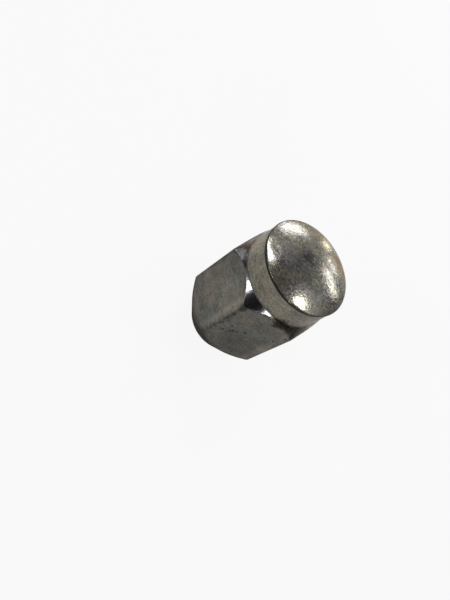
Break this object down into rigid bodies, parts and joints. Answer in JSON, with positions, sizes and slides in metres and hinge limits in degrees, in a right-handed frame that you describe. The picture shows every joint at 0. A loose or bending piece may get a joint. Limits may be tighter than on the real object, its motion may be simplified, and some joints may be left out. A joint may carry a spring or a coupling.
{
  "type": "lug nut",
  "caption": "Closed-end lug nut in worn plated steel: hexagon body with a conical seat and blind threaded hole below, and a round collar with a rimmed, crowned end face above.",
  "frame": {"origin": "on the nut's axis, at the plane of the seat end that it stands on", "axes": "+Z along the nut's axis, from the seat end to the closed end; +X out of a flat; +Y out of an edge of the hexagon"},
  "size_m": [0.021, 0.024, 0.033],
  "materials": {
    "plated_steel": "worn zinc plating, dull and mottled on the flats and collar, bright on the shoulder and the end face"
  },
  "bodies": {
    "root": {"lug_nut": "plated_steel"}
  },
  "joints": []
}
